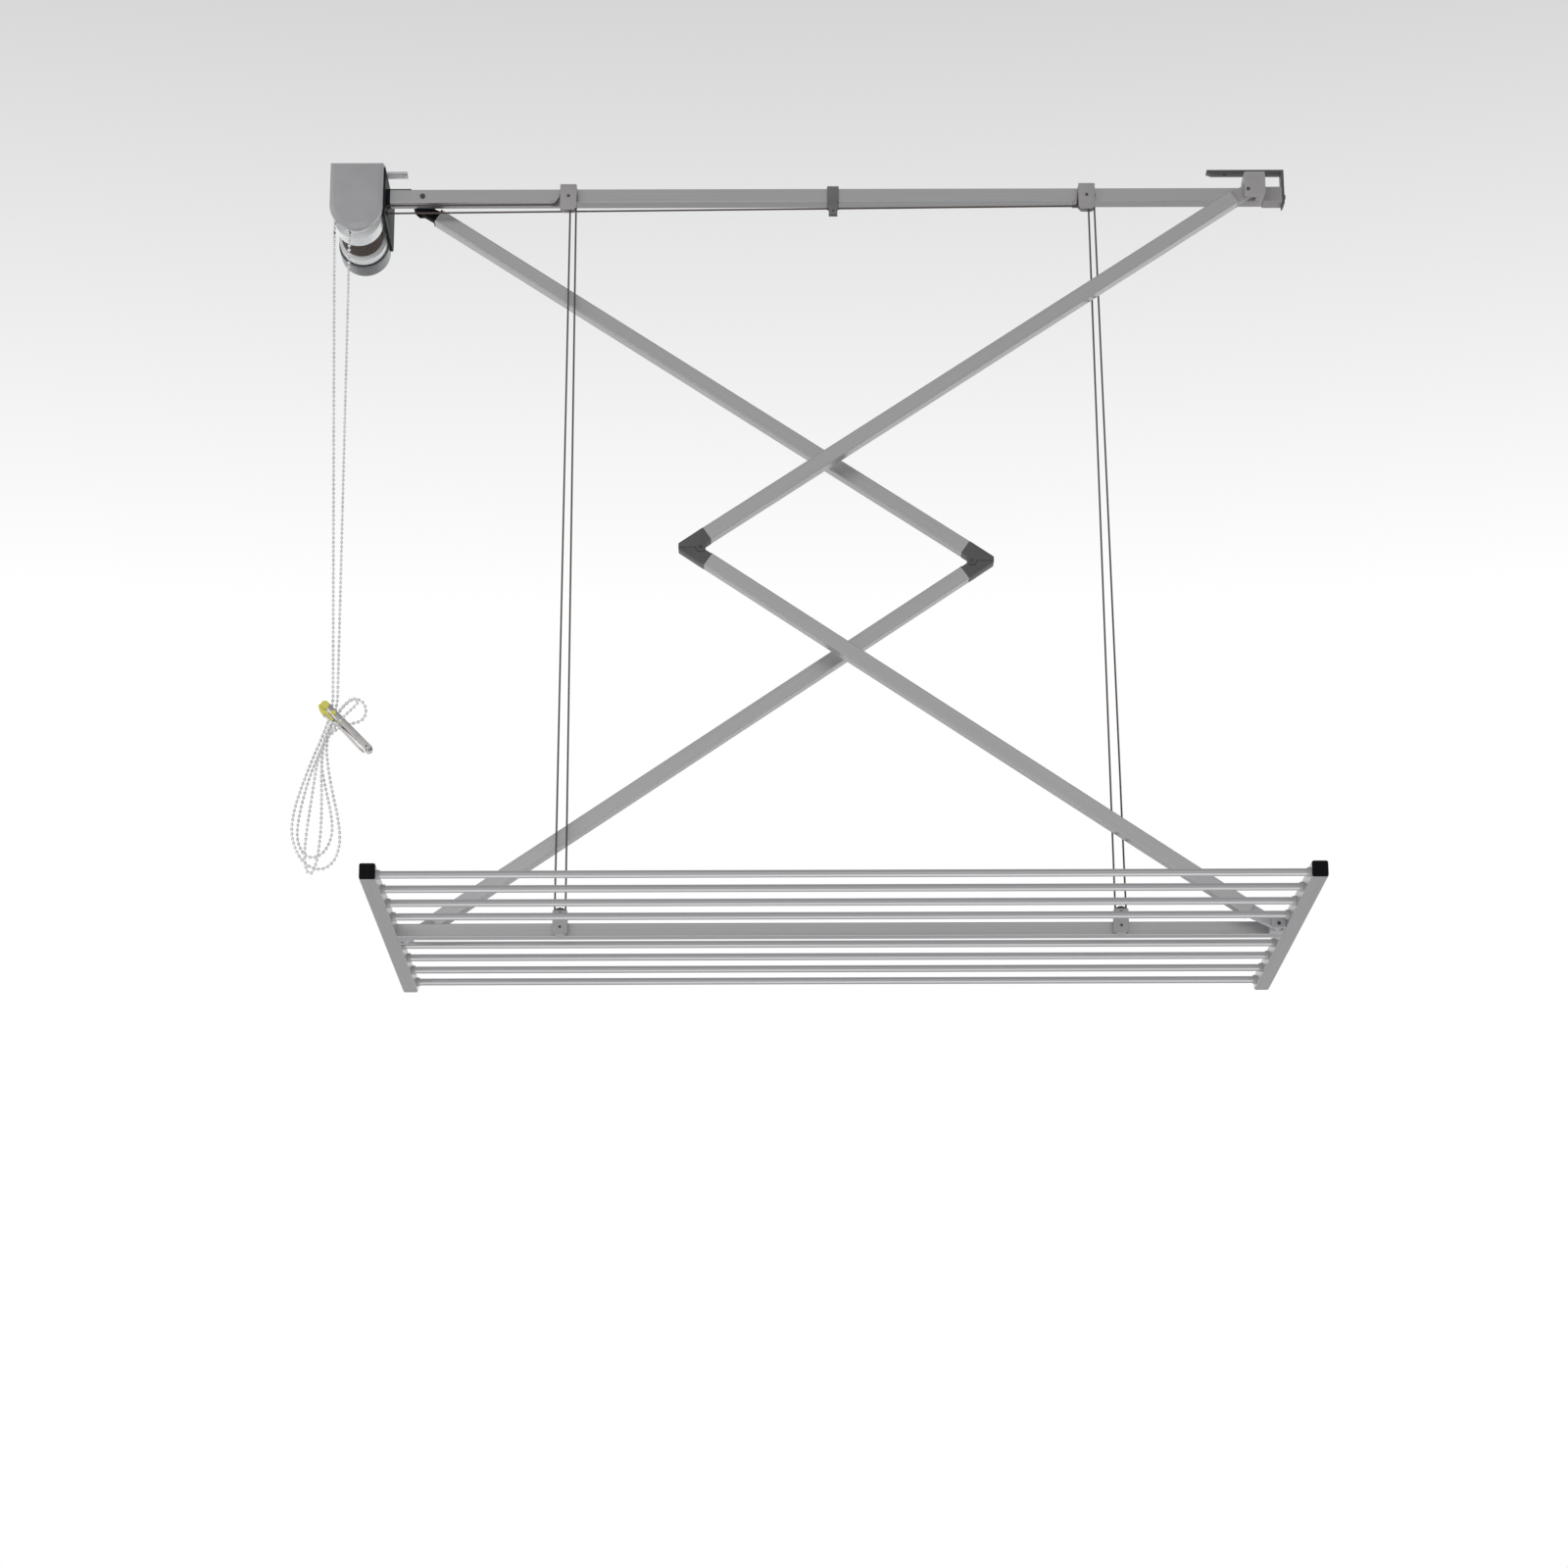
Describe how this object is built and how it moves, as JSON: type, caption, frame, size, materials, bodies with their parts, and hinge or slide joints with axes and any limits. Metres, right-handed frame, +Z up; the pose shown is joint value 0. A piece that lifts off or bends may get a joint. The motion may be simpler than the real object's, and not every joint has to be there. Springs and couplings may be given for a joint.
{
  "type": "ceiling mounted pulley rack",
  "caption": "Laundry rack that hangs from a ceiling rail on pulleys and cords, guided by folding elbow arms and raised by a bead chain winch.",
  "frame": {"origin": "on the ceiling plane, midway between the two outer ceiling holes", "axes": "+X along the ceiling rail away from the winch, -Y towards the user, +Z up to the ceiling"},
  "size_m": [1.3521, 0.6, 1.098],
  "materials": {
    "satin_aluminium": "satin anodised, fine extrusion lines",
    "bar_aluminium": "satin anodised round tube",
    "black_plastic": "moulded",
    "grey_plastic": "fine moulded grain",
    "arm_plastic": "moulded",
    "winch_plastic": "satin moulded",
    "white_plastic": "moulded",
    "nylon": "smooth",
    "cord": "braided",
    "dark_steel": "satin powder coat",
    "bright_steel": "bright",
    "chain_steel": "polished beads",
    "yellow_plastic": "dipped"
  },
  "bodies": {
    "base": {"ceiling_rail": "satin_aluminium", "rail_end_cap": "black_plastic", "right_ceiling_bracket": "dark_steel", "winch_ceiling_plate": "bright_steel", "winch_side_plate": "dark_steel", "winch_front_cover": "winch_plastic", "winch_cheek": "dark_steel", "winch_rear_housing": "winch_plastic", "winch_axles": "bright_steel", "brake_spring": "bright_steel", "frame_screws": "bright_steel", "upper_pulley_bracket_left": "grey_plastic", "upper_pulley_bracket_right": "grey_plastic", "centre_guide": "grey_plastic", "front_arm_bracket": "arm_plastic", "rear_arm_bracket": "arm_plastic", "rail_pins": "bright_steel", "cord_runs": "cord", "cord_falls": "cord", "chain_wrap": "chain_steel", "chain_strands": "chain_steel", "chain_hank": "chain_steel", "clip_body": "bright_steel", "clip_jaw_fixed": "yellow_plastic"},
    "drum": {"drum": "white_plastic", "cord_windings": "cord"},
    "chain_wheel": {"chain_wheel": "nylon"},
    "front_upper_arm": {"front_upper_tube": "satin_aluminium", "front_top_eye": "arm_plastic", "front_upper_elbow": "arm_plastic", "front_elbow_pin": "bright_steel"},
    "front_lower_arm": {"front_lower_tube": "satin_aluminium", "front_lower_elbow": "arm_plastic", "front_foot": "grey_plastic"},
    "rear_upper_arm": {"rear_upper_tube": "satin_aluminium", "rear_top_eye": "arm_plastic", "rear_upper_elbow": "arm_plastic", "rear_elbow_pin": "bright_steel"},
    "rear_lower_arm": {"rear_lower_tube": "satin_aluminium", "rear_lower_elbow": "arm_plastic", "rear_foot": "grey_plastic"},
    "rack": {"rack_side_left": "satin_aluminium", "rack_side_right": "satin_aluminium", "rack_end_caps": "black_plastic", "front_bars": "bar_aluminium", "rear_bars": "bar_aluminium", "bar_bushes": "grey_plastic", "centre_beam": "satin_aluminium", "lower_pulley_bracket_left": "grey_plastic", "lower_pulley_bracket_right": "grey_plastic", "foot_brackets": "grey_plastic", "rack_pins": "bright_steel", "lower_cord_wraps": "cord"},
    "upper_sheave_left": {"upper_sheave_left": "nylon"},
    "upper_sheave_right": {"upper_sheave_right": "nylon"},
    "lower_sheave_left": {"lower_sheave_left": "nylon"},
    "lower_sheave_right": {"lower_sheave_right": "nylon"},
    "guide_roller": {"guide_roller": "nylon"},
    "clip_lever": {"clip_lever": "bright_steel", "clip_jaw_moving": "yellow_plastic"}
  },
  "joints": [
    {"name": "lift", "type": "hinge", "parent": "base", "child": "front_upper_arm", "pos_m": [0.571, -0.034, -0.046], "axis": [0, 1, 0], "range_deg": [0, 31.7], "deforming": ["cord_falls"]},
    {"name": "front_elbow", "type": "hinge", "parent": "front_upper_arm", "child": "front_lower_arm", "pos_m": [-0.183, -0.034, -0.569], "axis": [0, 1, 0], "range_deg": [-63.5, 0]},
    {"name": "front_foot_pivot", "type": "hinge", "parent": "front_lower_arm", "child": "rack", "pos_m": [0.571, -0.034, -1.092], "axis": [0, 1, 0], "range_deg": [0, 31.8]},
    {"name": "rear_top_pivot", "type": "hinge", "parent": "base", "child": "rear_upper_arm", "pos_m": [-0.571, 0.021, -0.046], "axis": [0, 1, 0], "range_deg": [-31.8, 0]},
    {"name": "rear_elbow", "type": "hinge", "parent": "rear_upper_arm", "child": "rear_lower_arm", "pos_m": [0.183, 0.021, -0.569], "axis": [0, 1, 0], "range_deg": [0, 63.5]},
    {"name": "drum_turn", "type": "hinge", "parent": "base", "child": "drum", "pos_m": [-0.66, 0.02, -0.07], "axis": [0, 1, 0], "continuous": true},
    {"name": "chain_wheel_turn", "type": "hinge", "parent": "base", "child": "chain_wheel", "pos_m": [-0.6795, -0.0245, -0.03938], "axis": [0, 1, 0], "continuous": true},
    {"name": "upper_left_turn", "type": "hinge", "parent": "base", "child": "upper_sheave_left", "pos_m": [-0.368, -0.016, -0.043], "axis": [0, 1, 0], "continuous": true},
    {"name": "upper_right_turn", "type": "hinge", "parent": "base", "child": "upper_sheave_right", "pos_m": [0.35, -0.016, -0.043], "axis": [0, 1, 0], "continuous": true},
    {"name": "lower_left_turn", "type": "hinge", "parent": "rack", "child": "lower_sheave_left", "pos_m": [-0.3665, -0.016, -1.07], "axis": [0, 1, 0], "continuous": true},
    {"name": "lower_right_turn", "type": "hinge", "parent": "rack", "child": "lower_sheave_right", "pos_m": [0.368, -0.016, -1.07], "axis": [0, 1, 0], "continuous": true},
    {"name": "guide_roller_turn", "type": "hinge", "parent": "base", "child": "guide_roller", "pos_m": [-0.0015, -0.01035, -0.06338], "axis": [0, 1, 0], "continuous": true},
    {"name": "clip_squeeze", "type": "hinge", "parent": "base", "child": "clip_lever", "pos_m": [-0.66142, -0.0245, -0.80946], "axis": [0, -1, 0], "range_deg": [0, 6], "stiffness_Nm_per_rad": 0.5, "springref_deg": -14.32}
  ],
  "couplings": [
    {"joint": "front_elbow", "follows": "lift", "ratio": -2},
    {"joint": "front_foot_pivot", "follows": "lift", "ratio": 1},
    {"joint": "rear_top_pivot", "follows": "lift", "ratio": -1},
    {"joint": "rear_elbow", "follows": "lift", "ratio": 2},
    {"joint": "drum_turn", "follows": "lift", "ratio": -113.34},
    {"joint": "chain_wheel_turn", "follows": "lift", "ratio": 340.03},
    {"joint": "upper_left_turn", "follows": "lift", "ratio": -326.53},
    {"joint": "upper_right_turn", "follows": "lift", "ratio": -326.53},
    {"joint": "lower_left_turn", "follows": "lift", "ratio": 241.45},
    {"joint": "lower_right_turn", "follows": "lift", "ratio": 241.45}
  ]
}
